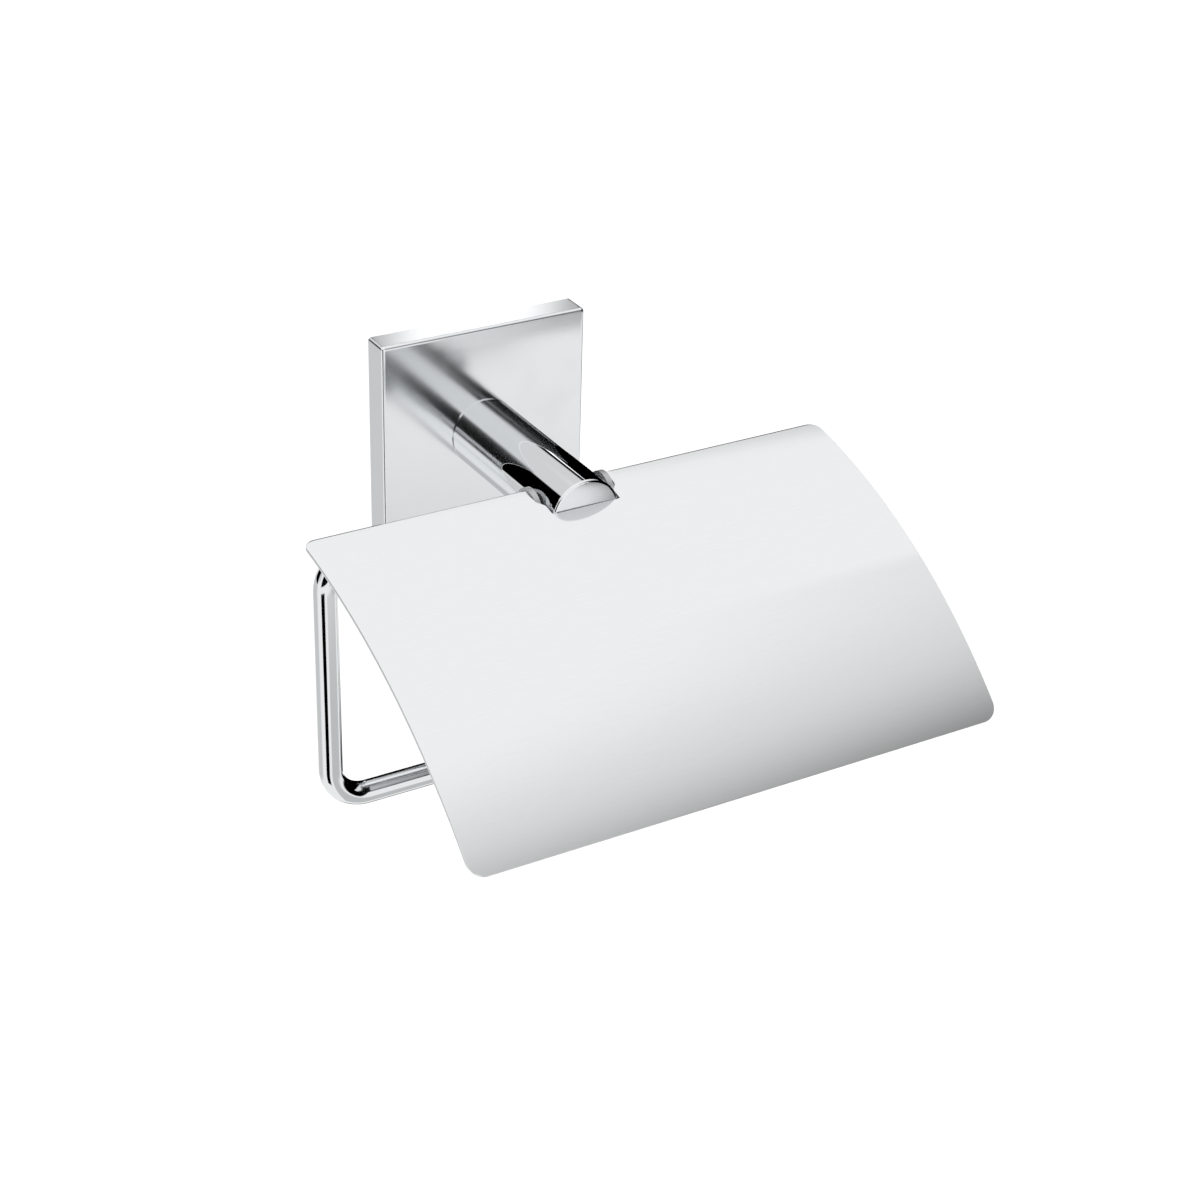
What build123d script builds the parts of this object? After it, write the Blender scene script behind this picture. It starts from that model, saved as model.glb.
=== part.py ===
from build123d import *
from math import asin, cos, degrees, radians, sin, sqrt
import os

# Toilet paper holder with a hinged cover, for a bathroom wall.
#
# A square rosette hooks over a screwed wall bracket and carries a round post. A bent wire
# passes through the post near its end: its lower arm holds the roll, and its upper arm is
# the hinge pin of the curved cover. Lengths are in millimetres. The origin is the middle of
# the rosette's back face, on the wall: X runs along the wall, the holder stands out towards
# -Y, and Z is up.

os.makedirs("parts", exist_ok=True)

# ---- wall plate ---------------------------------------------------------------------------
plate_size = 55.0            # side of the square rosette
plate_depth = 7.2            # how far the rosette stands off the wall
plate_skin = 2.0             # thickness of the rosette's front
plate_wall = 2.2             # thickness of the rosette's four sides
plate_corner = 0.8           # radius of the rosette's four upright corners
plate_edge = 0.9             # rounding around the rosette's front face

bracket_side_gap = 2.3       # bracket to the rosette's inner side walls
bracket_boss_gap = 3.3       # bracket to the set screw's boss
bracket_thickness = 2.0
window_gap = 1.5             # washer to the bracket's window, all round
wall_screw_d = 4.6           # clearance hole for a wall screw
wall_screw_inset = 7.0       # hole centre in from the bracket's end

pad_d = 3.0                  # rosette pads that rest on the bracket's front
pad_inset = 2.8              # pad centre in from the bracket's outline
hook_inset = 8.0             # rib that hangs on the bracket's top edge, in from its ends
hook_height = 2.4
hook_gap = 0.6               # left between the rib's back and the wall

# ---- post ---------------------------------------------------------------------------------
post_d = 17.5
post_reach = 56.7            # wall to the flat end of the post
post_end_round = 0.6
post_base_chamfer = 0.4
hinge_reach = 47.5           # wall to the wire's upper arm, which crosses the post's axis

# ---- wire ---------------------------------------------------------------------------------
wire_d = 5.6
wire_bend = 9.2              # bend radius at the wire's middle line
wire_leg_x = 62.0            # post axis to the upright leg
wire_drop = 65.3             # upper arm down to the roll arm
wire_stub = 15.0             # upper arm's length past the post axis, on the open side
roll_arm_end = 62.0          # post axis to the free end of the roll arm
wire_end_chamfer = 0.8

# ---- cover --------------------------------------------------------------------------------
cover_width = 137.7
cover_length = 92.3          # along the outer curve
cover_shift = 1.8            # cover's middle, towards the open side of the wire
cover_radius = 142.4         # outer curve
cover_pitch = 9.2            # slope of the cover where it crosses the hinge, degrees
cover_back = 1.6             # cover behind the hinge line, along the curve
sheet = 0.8
cover_top_corner = 3.0
cover_low_corner = 4.0
notch_taper = 2.0            # length over which the notch narrows, in front of the hinge eyes
notch_waist_corner = 1.5
notch_front_corner = 0.6

# ---- hinge --------------------------------------------------------------------------------
eye_wall = 1.0               # steel round the bush
eye_width = 1.4
eye_sink = 0.6               # the eye's front goes under the sheet by this much
leaf_thickness = 1.0
leaf_width = 13.0
leaf_lap = 0.2               # leaf's back edge is this much nearer the hinge than the bush is wide
leaf_end = 20.0              # leaf's front edge, in front of the hinge line
bush_wall = 0.95

# ---- screws -------------------------------------------------------------------------------
post_screw_d = 6.0
post_screw_head_d = 11.0
post_screw_head = 2.6
post_screw_key = 4.0         # across the flats of the hexagon socket
post_screw_grip = 10.0       # thread inside the post
washer_d = 12.0
washer_thickness = 1.0
dowel_d = 2.5
dowel_edge = 1.7             # dowel to the outside of the post
dowel_grip = 5.0             # dowel inside the post
grub_d = 4.0
grub_key = 2.0

# ---- clearances ---------------------------------------------------------------------------
screw_clearance = 0.2        # radial, around a plain shank
wire_clearance = 0.05        # radial, wire in the post
bush_clearance = 0.05        # radial, wire in the turning bush
eye_clearance = 0.35         # post to hinge eye, each side
eye_notch_clearance = 0.1    # hinge eye to the side of the cover's notch
notch_clearance = 0.35       # post's end to the cover's notch
cover_clearance = 0.56       # wire to the underside of the cover
drill_extra = 2.0            # blind holes run past the screw tip by this much

# ---- sizes that follow from the ones above ------------------------------------------------
post_r = post_d / 2
wire_r = wire_d / 2
bush_r = wire_r + bush_clearance + bush_wall
eye_r = bush_r + eye_wall
eye_x = post_r + eye_clearance
leaf_start = bush_r - leaf_lap
end_radius = post_reach - hinge_reach
inner_radius = cover_radius - sheet
centre_gap = inner_radius - wire_r - cover_clearance
curve_y = -hinge_reach + centre_gap * sin(radians(cover_pitch))
curve_z = -centre_gap * cos(radians(cover_pitch))
angle_per_mm = degrees(1 / cover_radius)
cover_top_angle = cover_pitch - cover_back * angle_per_mm
cover_low_angle = cover_top_angle + cover_length * angle_per_mm
face_y = plate_depth - plate_skin
cavity = plate_size - 2 * plate_wall
boss_size = 2 * grub_d
bracket_width = cavity - 2 * bracket_side_gap
bracket_height = cavity - 2 * (boss_size + bracket_boss_gap)
bracket_top = bracket_height / 2
wall_screw_spacing = bracket_width - 2 * wall_screw_inset
window_d = washer_d + 2 * window_gap
dowel_offset = post_r - dowel_edge - dowel_d / 2
set_screw_reach = bracket_thickness / 2 + 1.2


def on_curve(radius, angle):
    """Point on a curve of the cover, in the Y-Z plane, at an angle in front of straight up."""
    return (curve_y - radius * sin(radians(angle)), curve_z + radius * cos(radians(angle)))


def curve_angle(reach):
    """Angle at which the cover's inner curve is this far in front of the wall."""
    return degrees(asin((reach + curve_y) / inner_radius))


def curved_strip(outer, thickness, first, last):
    """Outline of a strip that follows the cover's curve between two angles."""
    inner = outer - thickness
    middle = (first + last) / 2
    ThreePointArc(on_curve(outer, first), on_curve(outer, middle), on_curve(outer, last))
    Line(on_curve(outer, last), on_curve(inner, last))
    ThreePointArc(on_curve(inner, last), on_curve(inner, middle), on_curve(inner, first))
    Line(on_curve(inner, first), on_curve(outer, first))


# ---- wall bracket: pressed steel, screwed to the wall ---------------------------------------
with BuildPart() as wall_bracket:
    with BuildSketch(Plane.XZ):
        RectangleRounded(bracket_width, bracket_height, 2 * bracket_thickness)
        Circle(window_d / 2, mode=Mode.SUBTRACT)
        with GridLocations(wall_screw_spacing, 0, 2, 1):
            Circle(wall_screw_d / 2, mode=Mode.SUBTRACT)
    extrude(amount=bracket_thickness)

wall_bracket.part.label = "wall_bracket"
export_step(wall_bracket.part, "parts/wall_bracket.step")

# ---- rosette: cast square cup that hides the bracket ----------------------------------------
with BuildPart() as rosette:
    with BuildSketch(Plane.XZ):
        RectangleRounded(plate_size, plate_size, plate_corner)
    extrude(amount=plate_depth)
    fillet(rosette.faces().sort_by(Axis.Y)[0].edges(), plate_edge)
    with BuildSketch(Plane.XZ):
        Rectangle(cavity, cavity)
    extrude(amount=face_y, mode=Mode.SUBTRACT)
    # Pads that touch the bracket's front at its four corners.
    with BuildSketch(Plane.XZ.offset(bracket_thickness)):
        with GridLocations(bracket_width - 2 * pad_inset, bracket_height - 2 * pad_inset, 2, 2):
            Circle(pad_d / 2)
    extrude(amount=face_y - bracket_thickness)
    # Rib that hangs on the bracket's top edge.
    with BuildSketch(Plane.XZ.offset(hook_gap)):
        with Locations((0, bracket_top)):
            Rectangle(bracket_width - 2 * hook_inset, hook_height, align=(Align.CENTER, Align.MIN))
    extrude(amount=face_y - hook_gap)
    # Boss in the bottom wall for the set screw.
    with BuildSketch(Plane.XZ):
        with Locations((0, -cavity / 2)):
            Rectangle(boss_size, boss_size, align=(Align.CENTER, Align.MIN))
    extrude(amount=face_y)
    with BuildSketch(Plane.XY.offset(-plate_size / 2)):
        with Locations((0, -set_screw_reach)):
            Circle(grub_d / 2)
    extrude(amount=plate_wall + boss_size, mode=Mode.SUBTRACT)
    # Holes for the post screw and for the dowel that stops the post turning.
    with BuildSketch(Plane.XZ.offset(face_y)):
        Circle(post_screw_d / 2 + screw_clearance)
        with Locations((0, dowel_offset)):
            Circle(dowel_d / 2)
    extrude(amount=plate_skin, mode=Mode.SUBTRACT)

rosette.part.label = "rosette"
export_step(rosette.part, "parts/rosette.step")

# ---- set screw: clamps the rosette to the bracket from below --------------------------------
set_screw_length = plate_size / 2 - bracket_top - plate_wall / 2

with BuildPart() as set_screw:
    with BuildSketch(Plane.XY.offset(-bracket_top)):
        with Locations((0, -set_screw_reach)):
            Circle(grub_d / 2)
    extrude(amount=-set_screw_length)
    with BuildSketch(Plane.XY.offset(-bracket_top - set_screw_length)):
        with Locations((0, -set_screw_reach)):
            RegularPolygon(grub_key / 2, 6, major_radius=False)
    extrude(amount=grub_key, mode=Mode.SUBTRACT)

set_screw.part.label = "set_screw"
export_step(set_screw.part, "parts/set_screw.step")

# ---- post: solid round bar, flat above its axis and rounded below it at the end --------------
with BuildPart() as post:
    with BuildSketch(Plane.XZ.offset(plate_depth)):
        Circle(post_r)
    extrude(amount=post_reach - plate_depth)
    chamfer(post.faces().sort_by(Axis.Y)[-1].edges(), post_base_chamfer)
    fillet(post.faces().sort_by(Axis.Y)[0].edges(), post_end_round)
    # The lower half of the end is rounded about the hinge, so that the cover swings past it.
    with BuildSketch(Plane.YZ):
        with Locations((-post_reach, 0)):
            Rectangle(2 * end_radius, post_d, align=(Align.CENTER, Align.MAX))
        with Locations((-hinge_reach, 0)):
            Circle(end_radius, mode=Mode.SUBTRACT)
    extrude(amount=post_d, both=True, mode=Mode.SUBTRACT)
    # Cross hole for the wire, and the grub screw's hole under it.
    with BuildSketch(Plane.YZ):
        with Locations((-hinge_reach, 0)):
            Circle(wire_r + wire_clearance)
    extrude(amount=post_d, both=True, mode=Mode.SUBTRACT)
    with BuildSketch(Plane.XY):
        with Locations((0, -hinge_reach)):
            Circle(grub_d / 2)
    extrude(amount=-post_d, mode=Mode.SUBTRACT)
    # Threaded hole and dowel hole in the base.
    with BuildSketch(Plane.XZ.offset(plate_depth)):
        Circle(post_screw_d / 2)
    extrude(amount=post_screw_grip + drill_extra, mode=Mode.SUBTRACT)
    with BuildSketch(Plane.XZ.offset(plate_depth)):
        with Locations((0, dowel_offset)):
            Circle(dowel_d / 2)
    extrude(amount=dowel_grip, mode=Mode.SUBTRACT)

post.part.label = "post"
export_step(post.part, "parts/post.step")

# ---- post screw, its washer and the dowel ---------------------------------------------------
head_y = face_y - washer_thickness

with BuildPart() as post_washer:
    with BuildSketch(Plane.XZ.offset(head_y)):
        Circle(washer_d / 2)
        Circle(post_screw_d / 2 + screw_clearance, mode=Mode.SUBTRACT)
    extrude(amount=washer_thickness)

post_washer.part.label = "post_washer"
export_step(post_washer.part, "parts/post_washer.step")

with BuildPart() as post_screw:
    with BuildSketch(Plane.XZ.offset(head_y - post_screw_head)):
        Circle(post_screw_head_d / 2)
    extrude(amount=post_screw_head)
    with BuildSketch(Plane.XZ.offset(head_y)):
        Circle(post_screw_d / 2)
    extrude(amount=plate_depth - head_y + post_screw_grip)
    with BuildSketch(Plane.XZ.offset(head_y - post_screw_head)):
        RegularPolygon(post_screw_key / 2, 6, major_radius=False)
    extrude(amount=post_screw_head / 2, mode=Mode.SUBTRACT)

post_screw.part.label = "post_screw"
export_step(post_screw.part, "parts/post_screw.step")

with BuildPart() as post_dowel:
    with BuildSketch(Plane.XZ.offset(face_y)):
        with Locations((0, dowel_offset)):
            Circle(dowel_d / 2)
    extrude(amount=plate_skin + dowel_grip)

post_dowel.part.label = "post_dowel"
export_step(post_dowel.part, "parts/post_dowel.step")

# ---- roll wire: hinge arm through the post, leg down, roll arm back under the cover ----------
with BuildPart() as roll_wire:
    with BuildLine(Plane.XZ.offset(hinge_reach)):
        FilletPolyline(
            (wire_stub, 0),
            (-wire_leg_x, 0),
            (-wire_leg_x, -wire_drop),
            (roll_arm_end, -wire_drop),
            radius=wire_bend,
        )
    with BuildSketch(Plane.YZ.offset(wire_stub)):
        with Locations((-hinge_reach, 0)):
            Circle(wire_r)
    sweep()
    chamfer(roll_wire.faces().filter_by(Axis.X).edges(), wire_end_chamfer)

roll_wire.part.label = "roll_wire"
export_step(roll_wire.part, "parts/roll_wire.step")

# ---- wire grub screw: clamps the wire from below ---------------------------------------------
wire_grub_length = post_r - wire_r - grub_key / 2

with BuildPart() as wire_grub:
    with BuildSketch(Plane.XY.offset(-wire_r)):
        with Locations((0, -hinge_reach)):
            Circle(grub_d / 2)
    extrude(amount=-wire_grub_length)
    with BuildSketch(Plane.XY.offset(-wire_r - wire_grub_length)):
        with Locations((0, -hinge_reach)):
            RegularPolygon(grub_key / 2, 6, major_radius=False)
    extrude(amount=grub_key, mode=Mode.SUBTRACT)

wire_grub.part.label = "wire_grub"
export_step(wire_grub.part, "parts/wire_grub.step")

# ---- cover: curved sheet with a notch that straddles the post --------------------------------
notch_front = post_reach + notch_clearance
notch_half_front = post_r + notch_clearance
notch_half = eye_x + eye_width + eye_notch_clearance
notch_waist = hinge_reach + eye_r - eye_sink
notch_open = hinge_reach - eye_r

with BuildPart() as cover:
    with BuildSketch(Plane.YZ.offset(cover_shift)):
        with BuildLine():
            curved_strip(cover_radius, sheet, cover_top_angle, cover_low_angle)
        make_face()
    extrude(amount=cover_width / 2, both=True)
    corners = cover.edges().filter_by(lambda edge: abs(edge.length - sheet) < sheet / 100)
    fillet(corners.group_by(Axis.Z)[-1], cover_top_corner)
    corners = cover.edges().filter_by(lambda edge: abs(edge.length - sheet) < sheet / 100)
    fillet(corners.sort_by(Axis.Z)[0:2], cover_low_corner)
    # The notch is wide enough for the hinge eyes, then closes in on the end of the post.
    with BuildSketch(Plane.XY):
        with BuildLine():
            Polyline(
                (-notch_half, -notch_open),
                (-notch_half, -notch_waist),
                (-notch_half_front, -notch_waist - notch_taper),
                (-notch_half_front, -notch_front),
                (notch_half_front, -notch_front),
                (notch_half_front, -notch_waist - notch_taper),
                (notch_half, -notch_waist),
                (notch_half, -notch_open),
                close=True,
            )
        make_face()
        fillet(vertices().sort_by(Axis.Y)[0:2], notch_front_corner)
        bends = vertices().filter_by_position(Axis.Y, -notch_waist - notch_taper, -notch_waist)
        fillet(bends, notch_waist_corner)
    extrude(amount=post_r, both=True, mode=Mode.SUBTRACT)

cover.part.label = "cover"
export_step(cover.part, "parts/cover.step")

# ---- hinge eyes with their leaves, and the bushes they turn on -------------------------------
for side, name in ((-1, "left"), (1, "right")):
    eye_plane = Plane.YZ.offset(side * eye_x)

    with BuildPart() as hinge_leaf:
        with BuildSketch(eye_plane):
            with Locations((-hinge_reach, 0)):
                Circle(eye_r)
        extrude(amount=side * eye_width)
        with BuildSketch(eye_plane):
            with BuildLine():
                curved_strip(
                    inner_radius,
                    leaf_thickness,
                    curve_angle(hinge_reach + leaf_start),
                    curve_angle(hinge_reach + leaf_end),
                )
            make_face()
        extrude(amount=side * leaf_width)
        with BuildSketch(eye_plane):
            with Locations((-hinge_reach, 0)):
                Circle(bush_r)
        extrude(amount=side * eye_width, mode=Mode.SUBTRACT)

    hinge_leaf.part.label = f"hinge_leaf_{name}"
    export_step(hinge_leaf.part, f"parts/hinge_leaf_{name}.step")

    with BuildPart() as hinge_bush:
        with BuildSketch(eye_plane):
            with Locations((-hinge_reach, 0)):
                Circle(bush_r)
                Circle(wire_r + bush_clearance, mode=Mode.SUBTRACT)
        extrude(amount=side * eye_width)

    hinge_bush.part.label = f"hinge_bush_{name}"
    export_step(hinge_bush.part, f"parts/hinge_bush_{name}.step")
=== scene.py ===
import logging
import math
from dataclasses import dataclass
from enum import Enum

import bpy
import numpy as np
from mathutils import Matrix, Vector


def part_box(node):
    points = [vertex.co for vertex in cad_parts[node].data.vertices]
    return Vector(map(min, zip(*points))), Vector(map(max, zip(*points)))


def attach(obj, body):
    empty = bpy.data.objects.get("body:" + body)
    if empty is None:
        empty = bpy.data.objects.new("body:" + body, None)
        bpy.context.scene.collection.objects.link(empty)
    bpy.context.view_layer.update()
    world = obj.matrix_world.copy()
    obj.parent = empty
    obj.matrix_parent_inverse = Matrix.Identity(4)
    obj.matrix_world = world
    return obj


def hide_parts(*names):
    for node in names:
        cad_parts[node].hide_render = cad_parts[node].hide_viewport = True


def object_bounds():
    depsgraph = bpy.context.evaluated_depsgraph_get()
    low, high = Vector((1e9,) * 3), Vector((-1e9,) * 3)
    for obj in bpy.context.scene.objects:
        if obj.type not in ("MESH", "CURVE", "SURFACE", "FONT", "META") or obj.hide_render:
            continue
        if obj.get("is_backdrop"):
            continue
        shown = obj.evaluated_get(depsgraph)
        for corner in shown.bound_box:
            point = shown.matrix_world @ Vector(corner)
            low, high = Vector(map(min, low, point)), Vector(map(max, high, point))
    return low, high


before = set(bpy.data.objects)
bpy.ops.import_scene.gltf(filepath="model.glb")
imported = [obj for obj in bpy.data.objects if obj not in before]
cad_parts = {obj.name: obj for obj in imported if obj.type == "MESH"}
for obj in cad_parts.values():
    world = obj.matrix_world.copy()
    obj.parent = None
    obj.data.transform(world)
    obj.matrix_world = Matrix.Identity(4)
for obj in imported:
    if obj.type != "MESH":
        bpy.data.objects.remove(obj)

log = logging.getLogger("holder")

MM = 0.001
HOLDER = "holder"
COVER = "cover"

# Numbers of the Mix node's colour sockets.
COLOUR_A, COLOUR_B, COLOUR_RESULT = 6, 7, 2


# ---- shader graph -------------------------------------------------------------------------


class Socket:
    """A number in a shader. Python's operators on it add Math nodes."""

    def __init__(self, graph: "Graph", link: bpy.types.NodeSocket) -> None:
        """Wraps an output socket of a node in the graph's tree."""
        self.graph = graph
        self.link = link

    def math(self, operation: str, *others: "Socket | float") -> "Socket":
        """Adds a Math node with this number first.

        Args:
            operation: Name of the Math node's operation.
            others: The node's further inputs, in order.

        Returns:
            The node's result.
        """
        return self.graph.value("Math", {"operation": operation}, dict(enumerate((self, *others))))

    def __add__(self, other: "Socket | float") -> "Socket":
        """Sum of two numbers."""
        return self.math("ADD", other)

    __radd__ = __add__

    def __sub__(self, other: "Socket | float") -> "Socket":
        """This number less the other."""
        return self.math("SUBTRACT", other)

    def __rsub__(self, other: float) -> "Socket":
        """The other number less this one."""
        return self.graph.constant(other).math("SUBTRACT", self)

    def __mul__(self, other: "Socket | float") -> "Socket":
        """Product of two numbers."""
        return self.math("MULTIPLY", other)

    __rmul__ = __mul__

    def ramp(self, low: float, high: float) -> "Socket":
        """Smooth step of this number: 0 at low, 1 at high. Low may be the larger one."""
        settings = {"interpolation_type": "SMOOTHSTEP"}
        return self.graph.value("MapRange", settings, {0: self, 1: low, 2: high, 3: 0.0, 4: 1.0})

    def window(self, low: float, high: float, soft: float) -> "Socket":
        """1 between low and high and 0 outside, with edges that are soft wide."""
        rise = self.ramp(low - soft / 2, low + soft / 2)
        return rise * self.ramp(high + soft / 2, high - soft / 2)


class Graph:
    """The node tree of one material, or of the world."""

    def __init__(self, tree: bpy.types.NodeTree) -> None:
        """Empties the tree."""
        self.tree = tree
        tree.nodes.clear()

    def node(self, kind: str, settings: dict | None = None, inputs: dict | None = None) -> bpy.types.Node:
        """Adds a node, sets it up, then fills its inputs.

        Args:
            kind: The node's type, without its ShaderNode prefix.
            settings: The node's properties.
            inputs: Values, Sockets or output sockets, by the name or number of the input.

        Returns:
            The new node.
        """
        made = self.tree.nodes.new("ShaderNode" + kind)
        for name, value in (settings or {}).items():
            setattr(made, name, value)
        for name, value in (inputs or {}).items():
            if isinstance(value, Socket):
                value = value.link
            if isinstance(value, bpy.types.NodeSocket):
                self.tree.links.new(value, made.inputs[name])
            else:
                made.inputs[name].default_value = value
        return made

    def value(
        self, kind: str, settings: dict | None = None, inputs: dict | None = None, output: int | str = 0
    ) -> Socket:
        """Adds a node and wraps one of its outputs.

        Args:
            kind: The node's type, without its ShaderNode prefix.
            settings: The node's properties.
            inputs: The node's inputs.
            output: Name or number of the output.

        Returns:
            The output as a Socket.
        """
        return Socket(self, self.node(kind, settings, inputs).outputs[output])

    def constant(self, number: float) -> Socket:
        """A number as a Socket, so that it can come first in a sum."""
        return self.value("Math", {"operation": "ADD"}, {0: number, 1: 0.0})

    def place(self, stretch: tuple[float, float, float] = (1.0, 1.0, 1.0)) -> Socket:
        """The object's own coordinates in metres, stretched along each axis."""
        where = self.value("TexCoord", output="Object")
        return self.value("Mapping", {"vector_type": "POINT"}, {"Vector": where, "Scale": stretch})

    def noise(self, where: Socket, size: float, detail: float = 3.0, rough: float = 0.55) -> Socket:
        """Cloudy noise from 0 to 1, with blobs of about that size in metres."""
        inputs = {"Vector": where, "Scale": 1 / size, "Detail": detail, "Roughness": rough}
        return self.value("TexNoise", None, inputs, "Fac")

    def tint(self, share: Socket, first: tuple, second: tuple) -> Socket:
        """Colour that goes from the first to the second as share goes from 0 to 1."""
        inputs = {0: share, COLOUR_A: (*first, 1.0), COLOUR_B: (*second, 1.0)}
        return self.value("Mix", {"data_type": "RGBA"}, inputs, COLOUR_RESULT)

    def bump(self, height: Socket, depth: float) -> Socket:
        """Normal of a surface that rises by depth, in metres, where height goes from 0 to 1."""
        return self.value("Bump", None, {"Strength": 1.0, "Distance": depth, "Height": height}, "Normal")


# ---- finishes -----------------------------------------------------------------------------


@dataclass(frozen=True)
class Finish:
    """What all finishes have in common: a name, a colour and a roughness."""

    name: str
    colour: tuple[float, float, float]
    roughness: float
    metallic: float = 1.0

    def darker(self, share: float) -> tuple[float, ...]:
        """The finish's colour with each part multiplied by share."""
        return tuple(share * part for part in self.colour)

    def pattern(self, graph: Graph) -> dict:
        """The inputs of the surface shader that vary over the piece."""
        return {}

    def material(self) -> bpy.types.Material:
        """Makes the finish's material once, and returns it again after that."""
        found = bpy.data.materials.get(self.name)
        if found:
            return found
        made = bpy.data.materials.new(self.name)
        made.use_nodes = True
        graph = Graph(made.node_tree)
        inputs = {
            "Base Color": (*self.colour, 1.0),
            "Metallic": self.metallic,
            "Roughness": self.roughness,
            **self.pattern(graph),
        }
        surface = graph.node("BsdfPrincipled", None, inputs)
        graph.node("OutputMaterial", None, {"Surface": surface.outputs["BSDF"]})
        return made


@dataclass(frozen=True)
class PolishedChrome(Finish):
    """Bright chrome: hazy patches left by wiping, a few polishing lines and a faint waviness."""

    haze: float = 0.035
    cloud_size: float = 14 * MM
    grain_size: float = 0.7 * MM
    wave_size: float = 9 * MM
    wave_depth: float = 0.0012 * MM

    def pattern(self, graph: Graph) -> dict:
        """Colour, roughness and normal of the plating."""
        where = graph.place()
        cloud = graph.noise(where, self.cloud_size, 4.0)
        grain = graph.noise(graph.place((1.0, 1.0, 9.0)), self.grain_size, 2.0)
        darker = self.darker(0.975)
        polish = self.roughness + self.haze * cloud.ramp(0.45, 0.75) * (0.6 + 0.4 * grain)
        wave = graph.noise(where, self.wave_size, 1.0)
        return {
            "Base Color": graph.tint(cloud, self.colour, darker),
            "Roughness": polish,
            "Normal": graph.bump(wave, self.wave_depth),
        }


@dataclass(frozen=True)
class BrushedMetal(Finish):
    """Sheet or bar with fine lines along one axis."""

    along: tuple[float, float, float] = (0.04, 1.0, 1.0)
    line_size: float = 0.25 * MM
    line_depth: float = 0.0004 * MM
    cloud_size: float = 20 * MM
    contrast: float = 0.04

    def pattern(self, graph: Graph) -> dict:
        """Colour, roughness and normal of the drawn lines, under a broad haze."""
        lines = graph.noise(graph.place(self.along), self.line_size, 3.0, 0.6)
        cloud = graph.noise(graph.place(), self.cloud_size, 3.0)
        return {
            "Base Color": graph.tint(lines.ramp(0.35, 0.7), self.colour, self.darker(1 - self.contrast)),
            "Roughness": self.roughness * (0.85 + 0.3 * lines) + 0.02 * cloud.ramp(0.5, 0.8),
            "Normal": graph.bump(lines, self.line_depth),
        }


@dataclass(frozen=True)
class ZincPlate(Finish):
    """Zinc plated pressed steel: soft spangle, a bluish and yellowish cast and dull patches."""

    cast: tuple[float, float, float] = (0.62, 0.66, 0.72)
    spangle_size: float = 1.8 * MM
    cloud_size: float = 6 * MM
    grain_size: float = 0.3 * MM
    grain_depth: float = 0.004 * MM

    def pattern(self, graph: Graph) -> dict:
        """Colour, roughness and normal of the plating."""
        where = graph.place()
        inputs = {"Vector": where, "Scale": 1 / self.spangle_size}
        spangle = graph.value("TexVoronoi", {"feature": "F1"}, inputs, "Distance")
        cloud = graph.noise(where, self.cloud_size, 4.0)
        fine = graph.noise(where, self.grain_size, 2.0)
        share = (0.55 * cloud + 0.45 * spangle).ramp(0.25, 0.65)
        return {
            "Base Color": graph.tint(share, self.colour, self.cast),
            "Roughness": self.roughness + 0.18 * cloud + 0.08 * spangle,
            "Normal": graph.bump(fine + 0.5 * spangle, self.grain_depth),
        }


@dataclass(frozen=True)
class TurnedSteel(Finish):
    """Machined screw steel: fine rings across the axis and a thin oily sheen."""

    axis: str = "Z"
    ring_size: float = 0.35 * MM
    ring_depth: float = 0.003 * MM
    cloud_size: float = 2.5 * MM

    def pattern(self, graph: Graph) -> dict:
        """Colour, roughness and normal of the turning marks."""
        settings = {"wave_type": "BANDS", "bands_direction": self.axis, "wave_profile": "SIN"}
        # The wave texture repeats once every 2 pi / 20 of its scaled length.
        inputs = {"Vector": graph.place(), "Scale": math.pi / 10 / self.ring_size, "Distortion": 0.6}
        rings = graph.value("TexWave", settings, inputs, "Fac")
        cloud = graph.noise(graph.place(), self.cloud_size, 3.0)
        return {
            "Base Color": graph.tint(cloud.ramp(0.35, 0.7), self.colour, self.darker(0.7)),
            "Roughness": self.roughness + 0.15 * cloud,
            "Normal": graph.bump(rings, self.ring_depth),
        }


@dataclass(frozen=True)
class MouldedNylon(Finish):
    """Moulded plastic with a fine matt grain and faint flow marks."""

    grain_size: float = 0.12 * MM
    grain_depth: float = 0.008 * MM
    flow_size: float = 2 * MM

    def pattern(self, graph: Graph) -> dict:
        """Colour, roughness and normal of the moulding."""
        where = graph.place()
        grain = graph.noise(where, self.grain_size, 2.0)
        flow = graph.noise(graph.place((0.3, 1.0, 1.0)), self.flow_size, 3.0)
        return {
            "Base Color": graph.tint(flow, self.colour, self.darker(0.88)),
            "Roughness": self.roughness + 0.12 * grain,
            "Normal": graph.bump(grain, self.grain_depth),
        }


class Slot(Enum):
    """The record's material slots, each with its finish."""

    CHROME = "chrome"
    CHROME_WIRE = "chrome_wire"
    COVER_SHEET = "cover_sheet"
    HINGE_STEEL_PAINTED_SHADE = "hinge_steel"
    ZINC_STEEL = "zinc_steel"
    # Steel of the hinge leaves, whose near-black colour is painted shade.
    SCREW_STEEL = "screw_steel"
    BUSH_NYLON = "bush_nylon"

    def finish(self) -> Finish:
        """The finish that this slot stands for."""
        return FINISHES[self]


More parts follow.
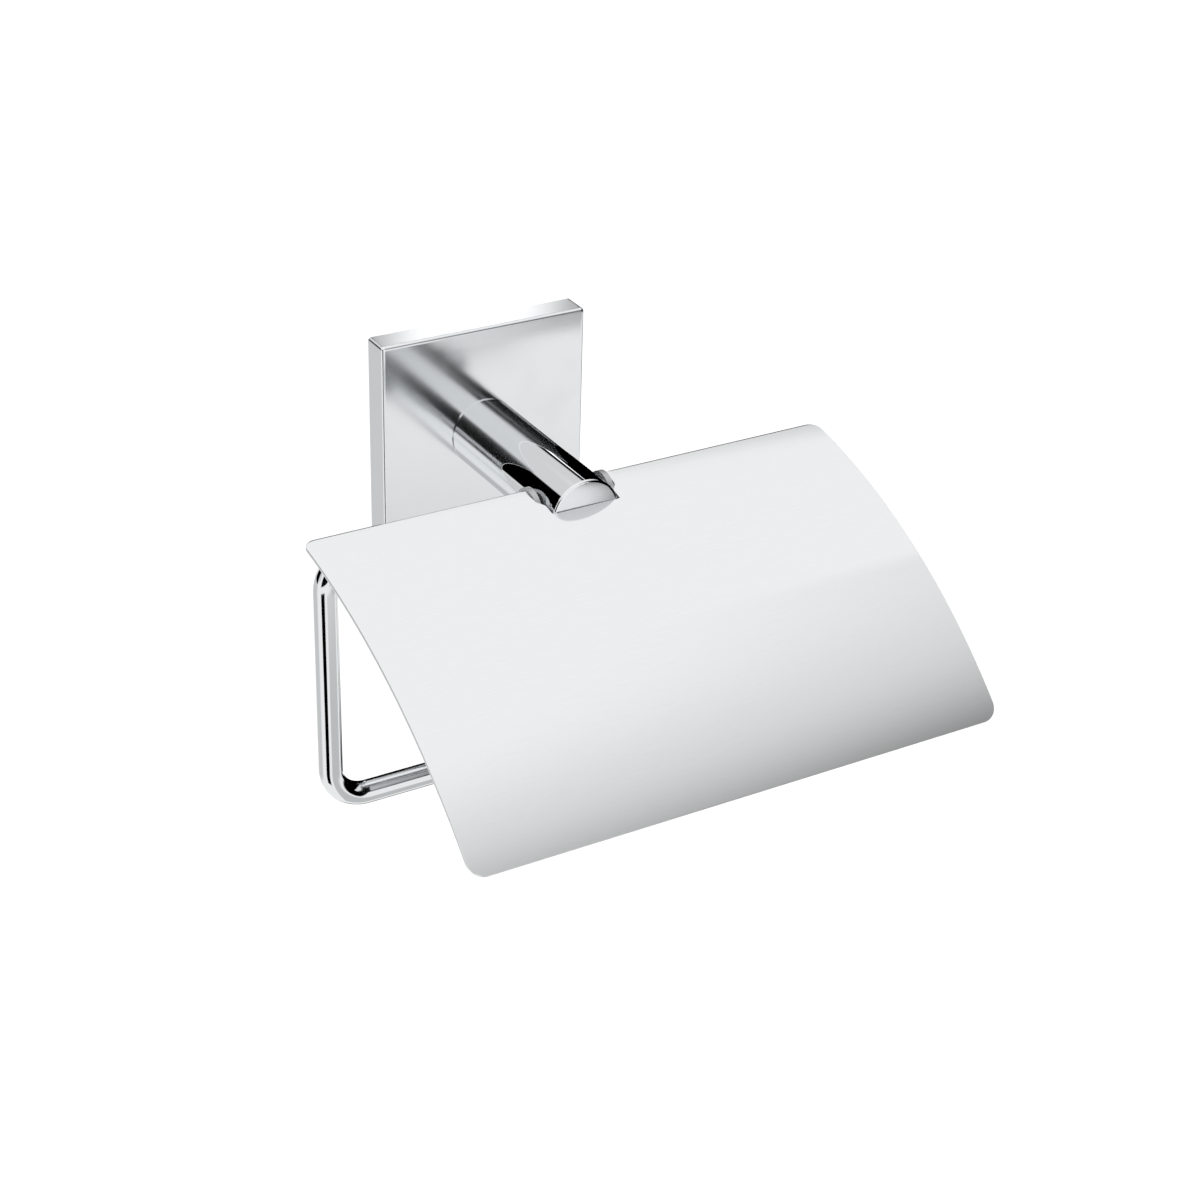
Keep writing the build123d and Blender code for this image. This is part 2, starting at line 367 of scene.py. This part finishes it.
PLATE_CHROME = PolishedChrome("plate_chrome", (0.885, 0.90, 0.915), 0.15, haze=0.04)
FINISHES = {
    Slot.CHROME: PolishedChrome("polished_chrome", (0.885, 0.90, 0.915), 0.02),
    Slot.CHROME_WIRE: PolishedChrome("polished_wire", (0.85, 0.865, 0.88), 0.07, haze=0.05),
    Slot.COVER_SHEET: BrushedMetal(
        "polished_sheet", (0.893, 0.903, 0.912), 0.09, line_depth=0.00003 * MM, contrast=0.015
    ),
    # The hinge steel's near-black colour is painted shade: it stands in for the dark surroundings that the
    # hinge eyes reflect, and is far darker than bare steel.
    Slot.HINGE_STEEL_PAINTED_SHADE: BrushedMetal("hinge_steel", (0.05, 0.05, 0.052), 0.16, contrast=0.25),
    Slot.ZINC_STEEL: ZincPlate("zinc_plate", (0.72, 0.70, 0.64), 0.3),
    Slot.SCREW_STEEL: TurnedSteel("turned_steel", (0.55, 0.55, 0.57), 0.24),
    Slot.BUSH_NYLON: MouldedNylon("moulded_nylon", (0.05, 0.05, 0.052), 0.45, metallic=0.0),
}


# ---- meshes -------------------------------------------------------------------------------


def grid_faces(rows: int, columns: int, closed: bool, first: int = 0) -> np.ndarray:
    """Corner numbers of the quads of a grid of points.

    Args:
        rows: Rows of points.
        columns: Points in a row.
        closed: Whether each row's last point joins its first.
        first: Number of the grid's first point.

    Returns:
        An array of four corner numbers per quad.
    """
    row, column = np.meshgrid(
        np.arange(rows - 1), np.arange(columns if closed else columns - 1), indexing="ij"
    )
    following = (column + 1) % columns
    corners = [
        row * columns + column,
        row * columns + following,
        (row + 1) * columns + following,
        (row + 1) * columns + column,
    ]
    return first + np.stack(corners, axis=-1).reshape(-1, 4)


def shell(name: str, grids: list[tuple[np.ndarray, bool]]) -> bpy.types.Object:
    """Joins grids of points into one smooth closed shell.

    Points that lie in the same place are merged, which closes seams and poles, and the faces
    are then turned outwards.

    Args:
        name: Name of the piece.
        grids: Arrays of (rows, columns, 3) points in metres, each with whether its rows close.

    Returns:
        The new object, at the origin.
    """
    points, faces, count = [], [], 0
    for grid, closed in grids:
        rows, columns, _ = grid.shape
        points.append(grid.reshape(-1, 3))
        faces.append(grid_faces(rows, columns, closed, count))
        count += rows * columns
    points, faces = np.concatenate(points), np.concatenate(faces)
    # Equal places, to a ten-thousandth of a millimetre, become one point.
    _, keep, same = np.unique(np.round(points / (1e-4 * MM)), axis=0, return_index=True, return_inverse=True)
    points, faces = points[keep], same.reshape(-1)[faces]
    corners = [list(dict.fromkeys(face)) for face in faces.tolist()]
    mesh = bpy.data.meshes.new(name)
    mesh.from_pydata(points.tolist(), [], [c for c in corners if len(c) > 2])
    mesh.update()
    made = bpy.data.objects.new(name, mesh)
    bpy.context.scene.collection.objects.link(made)
    turn_outwards(mesh)
    mesh.shade_smooth()
    return made


def turn_outwards(mesh: bpy.types.Mesh) -> None:
    """Flips the mesh if the volume inside its faces comes out negative."""
    mesh.calc_loop_triangles()
    corners = np.zeros(3 * len(mesh.loop_triangles), np.int32)
    mesh.loop_triangles.foreach_get("vertices", corners)
    places = np.zeros(3 * len(mesh.vertices))
    mesh.vertices.foreach_get("co", places)
    a, b, c = np.moveaxis(places.reshape(-1, 3)[corners.reshape(-1, 3)], 1, 0)
    if np.einsum("ij,ij->i", a, np.cross(b, c)).sum() < 0:
        mesh.flip_normals()


def arc(
    centre: tuple[float, float], radii: tuple[float, float], start: float, end: float, count: int
) -> np.ndarray:
    """Points of a part of an ellipse, whose radii lie along the plane's two axes.

    Args:
        centre: Middle of the ellipse.
        radii: Radius along the first axis and along the second.
        start: Where it starts, in degrees.
        end: Where it ends, in degrees.
        count: Number of points, both ends included.

    Returns:
        The points, as an array of (count, 2).
    """
    angle = np.radians(np.linspace(start, end, count))
    return np.stack([centre[0] + radii[0] * np.cos(angle), centre[1] + radii[1] * np.sin(angle)], axis=-1)


def round_off(corners: list[tuple[float, float]], radii: list[float], count: int) -> np.ndarray:
    """A line through corners, with each inner corner replaced by an arc that touches both sides.

    The arc starts and ends at radius * tan(half the turn) from the corner, and its middle line
    is a quadratic curve through those two points with the corner as its handle, which for
    these open corners lies within a few hundredths of a millimetre of the circle.

    Args:
        corners: The line's corners, its two ends included.
        radii: Radius at each inner corner.
        count: Points on each arc.

    Returns:
        Points of the line, ends included.
    """
    places = np.array(corners)
    made = [places[:1]]
    for before, corner, after, radius in zip(places, places[1:], places[2:], radii):
        back, on = before - corner, after - corner
        back, on = back / np.linalg.norm(back), on / np.linalg.norm(on)
        turn = np.pi - np.arccos(back @ on)
        cut = radius * np.tan(turn / 2)
        share = np.linspace(0, 1, count)[:, None]
        start, end = corner + cut * back, corner + cut * on
        made.append((1 - share) ** 2 * start + 2 * share * (1 - share) * corner + share**2 * end)
    return np.concatenate([*made, places[-1:]])


def run(start: tuple[float, float], end: tuple[float, float], count: int) -> np.ndarray:
    """Points of a straight run in a plane, both ends included."""
    return np.linspace(start, end, count)


def dress(node: str, slot: Slot, finish: Finish | None = None) -> None:
    """Gives a CAD node its finish.

    Args:
        node: Name of the node.
        slot: Its material slot.
        finish: A variant of the slot's finish, if it isn't the slot's own.
    """
    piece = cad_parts[node]
    piece.data.materials.clear()
    piece.data.materials.append((finish or slot.finish()).material())
    log.info("%s: %s on the CAD node", node, slot.value)


def place_piece(piece: bpy.types.Object, slot: Slot, body: str, *nodes: str) -> None:
    """Gives a new piece its finish and body, and has it stand for CAD nodes.

    Args:
        piece: The piece, at the origin.
        slot: Its material slot.
        body: The CAD body that it rides on.
        nodes: The CAD nodes that it replaces.
    """
    piece.data.materials.append(slot.finish().material())
    if nodes:
        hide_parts(*nodes)
    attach(piece, body)
    log.info("%s: %d faces on %s", piece.name, len(piece.data.polygons), body)


# ---- sub-assemblies -----------------------------------------------------------------------


@dataclass
class WallPlate:
    """Rosette, bracket and set screw."""

    def build(self) -> None:
        """Dresses the CAD nodes of the wall plate."""
        dress("rosette", Slot.CHROME, PLATE_CHROME)
        dress("wall_bracket", Slot.ZINC_STEEL)
        dress("set_screw", Slot.SCREW_STEEL)


@dataclass
class Post:
    """Post with its screw, washer, dowel and grub screw."""

    def build(self) -> None:
        """Dresses the CAD nodes of the post."""
        dress("post", Slot.CHROME)
        dress("post_screw", Slot.ZINC_STEEL)
        dress("post_washer", Slot.ZINC_STEEL)
        dress("post_dowel", Slot.SCREW_STEEL)
        dress("wire_grub", Slot.SCREW_STEEL)


@dataclass
class RollWire:
    """Bent wire: hinge arm, leg and roll arm."""

    bend: float = 9.2 * MM
    stub: float = 15.0 * MM
    end_round: float = 0.8 * MM
    end_ring: float = 1.05
    around: int = 56
    in_bend: int = 28
    in_end: int = 7

    def __post_init__(self) -> None:
        """Reads the wire's sizes from its CAD node."""
        low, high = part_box("roll_wire")
        self.radius = (high.y - low.y) / 2
        self.reach = (high.y + low.y) / 2
        self.leg_x = low.x + self.radius
        self.arm_end = high.x
        self.arm_z = low.z + self.radius

    def path(self) -> tuple[np.ndarray, np.ndarray]:
        """The wire's middle line: straight runs joined by quarter circles.

        Returns:
            Points as (x, z), and the direction of the wire at each.
        """
        bend = self.bend
        upper = run((self.stub - self.end_round, 0), (self.leg_x + bend, 0), 3)
        top = arc((self.leg_x + bend, -bend), (bend, bend), 90, 180, self.in_bend)
        leg = run((self.leg_x, -bend), (self.leg_x, self.arm_z + bend), 3)
        low = arc((self.leg_x + bend, self.arm_z + bend), (bend, bend), 180, 270, self.in_bend)
        lower = run((self.leg_x + bend, self.arm_z), (self.arm_end - self.end_round, self.arm_z), 3)
        turn = np.concatenate([
            np.full(3, 180.0), np.linspace(180, 270, self.in_bend), np.full(3, 270.0),
            np.linspace(270, 360, self.in_bend), np.full(3, 360.0),
        ])
        angle = np.radians(turn)
        return np.concatenate([upper, top, leg, low, lower]), np.stack([np.cos(angle), np.sin(angle)], -1)

    def surface(self) -> np.ndarray:
        """A circle carried along the path, closed at each end by a rounded edge and a flat disc.

        At a share t of the rounded edge, from 0 to 1, the circle has moved on by
        end_round * sin(t * 90 degrees) and has shrunk by end_round * (1 - cos(t * 90 degrees)).
        One more ring, end_ring times end_round in, keeps the disc's rim flat.

        Returns:
            Points as (stations along the wire, places around it, 3).
        """
        points, heading = self.path()
        share = np.radians(np.linspace(0, 90, self.in_end))[1:]
        forward = np.append(self.end_round * np.sin(share), [self.end_round] * 2)
        flat_end = [self.end_ring * self.end_round, self.radius]
        shrink = np.append(self.end_round * (1 - np.cos(share)), flat_end)
        start = points[0] - forward[::-1, None] * heading[0]
        end = points[-1] + forward[:, None] * heading[-1]
        radius = self.radius - np.concatenate([shrink[::-1], np.zeros(len(points)), shrink])
        caps = len(forward)
        points = np.concatenate([start, points, end])
        heading = np.concatenate([heading[:1].repeat(caps, 0), heading, heading[-1:].repeat(caps, 0)])
        turn = np.linspace(0, 2 * np.pi, self.around, endpoint=False)
        across, out = radius[:, None] * np.cos(turn), radius[:, None] * np.sin(turn)
        x = points[:, 0, None] - heading[:, 1, None] * across
        z = points[:, 1, None] + heading[:, 0, None] * across
        return np.stack([x, self.reach + out, z], axis=-1)

    def build(self) -> None:
        """Builds the wire."""
        piece = shell("wire_bar", [(self.surface(), True)])
        place_piece(piece, Slot.CHROME_WIRE, HOLDER, "roll_wire")


@dataclass
class Cover:
    """Curved sheet cover with its hinge leaves and bushes.

    The sheet's edge is rounded over rim_width by rim_depth. Along the back edge the rounding
    is back_rim times as wide, and in the notch notch_rim times.
    """

    radius: float = 142.4 * MM
    sheet: float = 0.8 * MM
    pitch: float = 9.2
    back: float = 1.6 * MM
    length: float = 92.3 * MM
    top_corner: float = 3.0 * MM
    low_corner: float = 4.0 * MM
    waist_corner: float = 1.5 * MM
    taper: float = 2.0 * MM
    eye_sink: float = 0.6 * MM
    front_corner: float = 0.6 * MM
    notch_gap: float = 0.22 * MM
    eye_gap: float = 0.1 * MM
    eye_wall: float = 1.0 * MM
    rim_width: float = 0.1 * MM
    rim_depth: float = 0.3 * MM
    border: float = 0.3 * MM
    rim_ring: float = 1.04
    back_rim: float = 6.0
    notch_rim: float = 1.0
    in_corner: int = 12
    in_run: int = 40
    in_side: int = 72
    in_rim: int = 8

    def __post_init__(self) -> None:
        """Reads the cover's place from its CAD nodes."""
        low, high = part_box("cover")
        post_low, post_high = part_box("post")
        eye_low, eye_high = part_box("hinge_bush_right")
        self.left, self.right = low.x, high.x
        self.start = math.radians(self.pitch) - self.back / self.radius
        self.centre_y = high.y + (self.radius - self.sheet) * math.sin(self.start)
        self.centre_z = high.z - self.radius * math.cos(self.start)
        self.notch_half = eye_high.x + self.eye_gap
        self.notch_front_half = post_high.x + self.notch_gap
        hinge_y = (eye_low.y + eye_high.y) / 2
        eye_radius = (eye_high.y - eye_low.y) / 2 + self.eye_wall
        self.waist = self.down(hinge_y - eye_radius + self.eye_sink)
        self.narrow = self.down(hinge_y - eye_radius + self.eye_sink - self.taper)
        self.notch_front = self.down(post_low.y - self.notch_gap)

    def down(self, y: float) -> float:
        """How far down the outer face, from the back edge, a place with this y lies."""
        return self.radius * (math.asin((self.centre_y - y) / self.radius) - self.start)

    def on_sheet(self, flat: np.ndarray, depth: np.ndarray) -> np.ndarray:
        """Bends flat places round the cover's curve.

        A place that is s down the outer face lies at an angle of s / radius in front of the back
        edge's own, and depth below that face.

        Args:
            flat: Places as (x, s), in metres.
            depth: How far below the outer face each lies.

        Returns:
            Points in the frame.
        """
        angle = self.start + flat[..., 1] / self.radius
        radius = self.radius - depth
        y = self.centre_y - radius * np.sin(angle)
        z = self.centre_z + radius * np.cos(angle)
        return np.stack([flat[..., 0], y, z], axis=-1)

    def edges(self, inset: float) -> tuple[np.ndarray, np.ndarray]:
        """The sheet's back edge with its notch, and its front edge, both moved inwards.

        Args:
            inset: How far inside the real edge the line lies.

        Returns:
            The back edge and the front edge as (x, s), left to right, with as many points each.
        """
        top, low = self.top_corner, self.low_corner
        left, right = self.left, self.right
        mouth, cut = self.back_rim * inset, self.notch_rim * inset
        side, front_side = self.notch_half + cut, self.notch_front_half + cut
        few, many = self.in_corner, self.in_run
        outer_bend, inner_bend = self.waist_corner + cut, self.waist_corner - cut
        corner = self.front_corner + cut
        notch = round_off(
            [(-side, mouth), (-side, self.waist), (-front_side, self.narrow),
             (-front_side, self.notch_front + cut), (front_side, self.notch_front + cut),
             (front_side, self.narrow), (side, self.waist), (side, mouth)],
            [outer_bend, inner_bend, corner, corner, inner_bend, outer_bend],
            few,
        )
        back = np.concatenate([
            arc((left + top, top), (top - inset, top - mouth), 180, 270, few),
            run((left + top, mouth), (-side, mouth), many)[1:-1],
            notch,
            run((side, mouth), (right - top, mouth), many)[1:],
            arc((right - top, top), (top - inset, top - mouth), 270, 360, few)[1:],
        ])
        # The front edge's straight part is shared out as the back edge's length is.
        middle = back[few - 1 : -few + 1]
        walked = np.append(0, np.cumsum(np.linalg.norm(np.diff(middle, axis=0), axis=1)))
        share = walked / walked[-1]
        x = left + low + share * (right - left - 2 * low)
        straight = np.stack([x, np.full(len(x), self.length - inset)], axis=-1)
        front = np.concatenate([
            arc((left + low, self.length - low), (low - inset, low - inset), 180, 90, few),
            straight[1:-1],
            arc((right - low, self.length - low), (low - inset, low - inset), 90, 0, few),
        ])
        return back, front

    def face(self, inset: float, depth: float) -> np.ndarray:
        """The inside of a face: straight lines from the back edge to the front edge."""
        back, front = self.edges(inset)
        share = np.linspace(0, 1, self.in_side)[:, None, None]
        return self.on_sheet(back + share * (front - back), depth)

    def loop(self, inset: float) -> np.ndarray:
        """The whole outline as one closed row: back edge, right side, front edge, left side."""
        back, front = self.edges(inset)
        share = np.linspace(0, 1, self.in_side)[1:-1, None]
        right = back[-1] + share * (front[-1] - back[-1])
        left = front[0] + share * (back[0] - front[0])
        return np.concatenate([back, right, front[::-1], left])

    def rim(self) -> np.ndarray:
        """The band round the sheet: both faces' borders and the rounded edge between them.

        The edge is a quarter ellipse at each face, rim_width wide and rim_depth deep: at an
        angle t it lies rim_width * (1 - sin t) inside the outline and rim_depth * (1 - cos t)
        below the face. The ring before it keeps the border flat.

        Returns:
            Points as (steps across the edge, places along the outline, 3).
        """
        turn = np.linspace(0, np.pi / 2, self.in_rim)
        inset = np.append([self.border, self.rim_ring * self.rim_width], self.rim_width * (1 - np.sin(turn)))
        depth = np.append([0, 0], self.rim_depth * (1 - np.cos(turn)))
        inset, depth = np.append(inset, inset[::-1]), np.append(depth, self.sheet - depth[::-1])
        return np.stack([self.on_sheet(self.loop(i), d) for i, d in zip(inset, depth)])

    def build(self) -> None:
        """Builds the sheet and dresses the hinge's CAD nodes."""
        outer, inner = self.face(self.border, 0.0), self.face(self.border, self.sheet)
        grids = [(outer, False), (inner[:, ::-1], False), (self.rim()[:, ::-1], True)]
        piece = shell("cover_panel", grids)
        place_piece(piece, Slot.COVER_SHEET, COVER, "cover")
        for side in ("left", "right"):
            # The hinge leaves get the near-black hinge steel, whose colour is painted shade for the dark
            # surroundings that they reflect.
            dress(f"hinge_leaf_{side}", Slot.HINGE_STEEL_PAINTED_SHADE)
            dress(f"hinge_bush_{side}", Slot.BUSH_NYLON)


# ---- studio -------------------------------------------------------------------------------


@dataclass(frozen=True)
class Patch:
    """An upright oblong in the studio, as directions from the object, in degrees.

    Turn is counted from +X towards +Y, and rise from the horizon upwards. Soft is the width of
    its edges, and share is how much of the light it takes away, or adds.
    """

    turn: tuple[float, float]
    rise: tuple[float, float]
    soft: float
    share: float

    def mask(self, turn: Socket, rise: Socket) -> Socket:
        """The patch's share inside it and 0 outside, across the place where turns start again."""
        middle = (self.turn[0] + self.turn[1]) / 2
        half = (self.turn[1] - self.turn[0]) / 2
        off = (turn - middle).math("WRAP", -180.0, 180.0)
        return self.share * (off.window(-half, half, self.soft) * rise.window(*self.rise, self.soft))


# Cards that take light away: the post's left band and the same band seen by way of the
# rosette, the leg's line, the cover's lower edge, the post's right band by way of the rosette,
# and the grey of the post's upper side.
FLAGS = (
    Patch((118, 160), (-8, 24.5), 2, 1.0),
    Patch((198, 244), (-10, 26), 2, 1.0),
    Patch((205, 237), (-50, -22), 2, 1.0),
    Patch((15, 75), (-62, -31), 3, 1.0),
    Patch((-75, -60), (24, 33), 3, 1.0),
    Patch((-125, -64), (27, 41), 5, 0.2),
)
# A bright slot in the dark panel, which lights the rosette's upper side.
SLOT_LIGHT = Patch((60.0, 64.0), (18, 28), 1.0, 1.6)


@dataclass(frozen=True)
class Tent:
    """The pale light tent and the wide dark panel on its right, in degrees and brightness.

    A pair of rises is where a soft edge starts and where it ends. In front means on the -Y side
    of the wall's plane, and behind the other side.
    """

    pale: float = 0.95
    front_blend: float = 0.02
    behind_shade: float = 0.25
    behind_top: tuple[float, float] = (43, 38)
    panel_turn: tuple[float, float] = (-62.3, 74)
    panel_soft: float = 1.2
    front_edges: tuple[tuple[float, tuple[float, float]], ...] = ((0.25, (64, 46)), (0.75, (51, 30)))
    behind_edge: tuple[float, float] = (33, 31)
    front_foot: tuple[float, float] = (-20, -16)
    behind_foot: tuple[float, float] = (-28, -24)
    low_front: tuple[float, float] = (-100, -20)
    low_front_soft: float = 10
    low_front_rise: tuple[float, float] = (-24, -32)
    low_front_shade: float = 0.4
    low_left: tuple[float, float] = (95, 165)
    low_left_soft: float = 20
    low_left_rise: tuple[float, float] = (-42, -8)
    low_left_rise_soft: float = 12
    low_left_shade: float = 0.33
    horizon: tuple[float, float] = (-6, 2)

    def light(self, turn: Socket, rise: Socket, y: Socket) -> Socket:
        """Brightness in a direction.

        Args:
            turn: Direction's turn from +X towards +Y, in degrees.
            rise: Direction's height above the horizon, in degrees.
            y: The direction's part along Y.

        Returns:
            The brightness, with the slot's light and without the flags.
        """
        in_front = y.ramp(self.front_blend, -self.front_blend)
        behind = 1 - in_front
        top = self.pale - self.behind_shade * behind * rise.ramp(*self.behind_top)
        # The panel's upper edge is hard behind the wall's plane and soft in front of it.
        (first, first_rise), (second, second_rise) = self.front_edges
        soft_edge = first * rise.ramp(*first_rise) + second * rise.ramp(*second_rise)
        hard_edge = rise.ramp(*self.behind_edge)
        edge = hard_edge + in_front * (soft_edge - hard_edge)
        foot = in_front * rise.ramp(*self.front_foot) + behind * rise.ramp(*self.behind_foot)
        panel = turn.window(*self.panel_turn, self.panel_soft) * edge * foot
        floor_front = turn.window(*self.low_front, self.low_front_soft) * rise.ramp(*self.low_front_rise)
        left = turn.window(*self.low_left, self.low_left_soft)
        floor_left = left * rise.window(*self.low_left_rise, self.low_left_rise_soft)
        low = self.pale * (1 - self.low_front_shade * floor_front) * (1 - self.low_left_shade * floor_left)
        light = low + rise.ramp(*self.horizon) * (top - low)
        return light * (1 - panel) + SLOT_LIGHT.mask(turn, rise)


@dataclass
class Studio:
    """Camera, floor and soft light round the object."""

    azimuth: float = -0.5759
    elevation: float = 0.5322
    roll: float = 0.0466
    place: tuple[float, float, float] = (-0.276822, -0.521846, 0.278417)
    lens: float = 78.82
    sensor: float = 36.0
    shift: tuple[float, float] = (-0.0587, 0.0569)
    nearest: float = 0.01
    farthest: float = 50.0
    floor_drop: float = 0.30
    floor_size: float = 12.0
    floor_grey: float = 0.97
    lamp_size: float = 3.0
    lamp_power: float = 60.0
    lamp_height: float = 3.0
    white: float = 1.0

    def make_camera(self) -> None:
        """Puts the camera in its place, with its roll and shift."""
        a, e, r = self.azimuth, self.elevation, self.roll
        back = Vector((math.sin(a) * math.cos(e), -math.cos(a) * math.cos(e), math.sin(e)))
        right = Vector((math.cos(a), math.sin(a), 0))
        up = back.cross(right)
        x = right * math.cos(r) + up * math.sin(r)
        y = up * math.cos(r) - right * math.sin(r)
        data = bpy.data.cameras.new("camera")
        data.lens, data.sensor_width = self.lens, self.sensor
        data.shift_x, data.shift_y = self.shift
        data.clip_start, data.clip_end = self.nearest, self.farthest
        camera = bpy.data.objects.new("camera", data)
        camera.matrix_world = Matrix.Translation(self.place) @ Matrix((x, y, back)).transposed().to_4x4()
        bpy.context.scene.collection.objects.link(camera)
        bpy.context.scene.camera = camera

    def make_floor(self) -> None:
        """A plain pale floor, well below the object."""
        half = self.floor_size / 2
        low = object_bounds()[0].z - self.floor_drop
        mesh = bpy.data.meshes.new("floor")
        corners = [(-half, -half, low), (half, -half, low), (half, half, low), (-half, half, low)]
        mesh.from_pydata(corners, [], [(0, 1, 2, 3)])
        floor = bpy.data.objects.new("floor", mesh)
        bpy.context.scene.collection.objects.link(floor)
        material = bpy.data.materials.new("pale_floor")
        material.use_nodes = True
        graph = Graph(material.node_tree)
        surface = graph.node("BsdfDiffuse", None, {"Color": (*[self.floor_grey] * 3, 1.0)})
        graph.node("OutputMaterial", None, {"Surface": surface.outputs["BSDF"]})
        mesh.materials.append(material)
        # The dark cards stand low too, so the metal looks past the floor at them.
        floor.visible_glossy = False
        floor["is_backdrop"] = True

    def make_light(self) -> None:
        """A pale light tent with dark flags, and a soft lamp over the floor."""
        world = bpy.data.worlds.new("studio")
        world.use_nodes = True
        bpy.context.scene.world = world
        graph = Graph(world.node_tree)
        towards = graph.value("TexCoord", output="Generated")
        split = graph.node("SeparateXYZ", None, {0: towards})
        x, y, z = (Socket(graph, s) for s in split.outputs)
        turn = y.math("ARCTAN2", x) * math.degrees(1)
        rise = z.math("ARCSINE") * math.degrees(1)
        light = Tent().light(turn, rise, y)
        for flag in FLAGS:
            light = light * (1 - flag.mask(turn, rise))
        seen = graph.value("LightPath", output="Is Camera Ray")
        strength = light + seen * (self.white - light)
        surface = graph.node("Background", None, {"Color": (1.0, 1.0, 1.0, 1.0), "Strength": strength})
        graph.node("OutputWorld", None, {"Surface": surface.outputs["Background"]})
        lamp = bpy.data.lights.new("lamp", "AREA")
        lamp.size, lamp.energy = self.lamp_size, self.lamp_power
        made = bpy.data.objects.new("lamp", lamp)
        made.location = (0.0, 0.0, self.lamp_height)
        made.visible_glossy = False
        bpy.context.scene.collection.objects.link(made)

    def build(self) -> None:
        """Builds the studio."""
        self.make_camera()
        self.make_floor()
        self.make_light()
        bpy.context.scene.view_settings.view_transform = "Standard"
        log.info("studio: camera, floor and light")


def main() -> None:
    """Builds the sub-assemblies in order, then the studio."""
    logging.basicConfig(level=logging.INFO, format="%(message)s")
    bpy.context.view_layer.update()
    WallPlate().build()
    Post().build()
    RollWire().build()
    Cover().build()
    Studio().build()


if __name__ == "__main__":
    main()
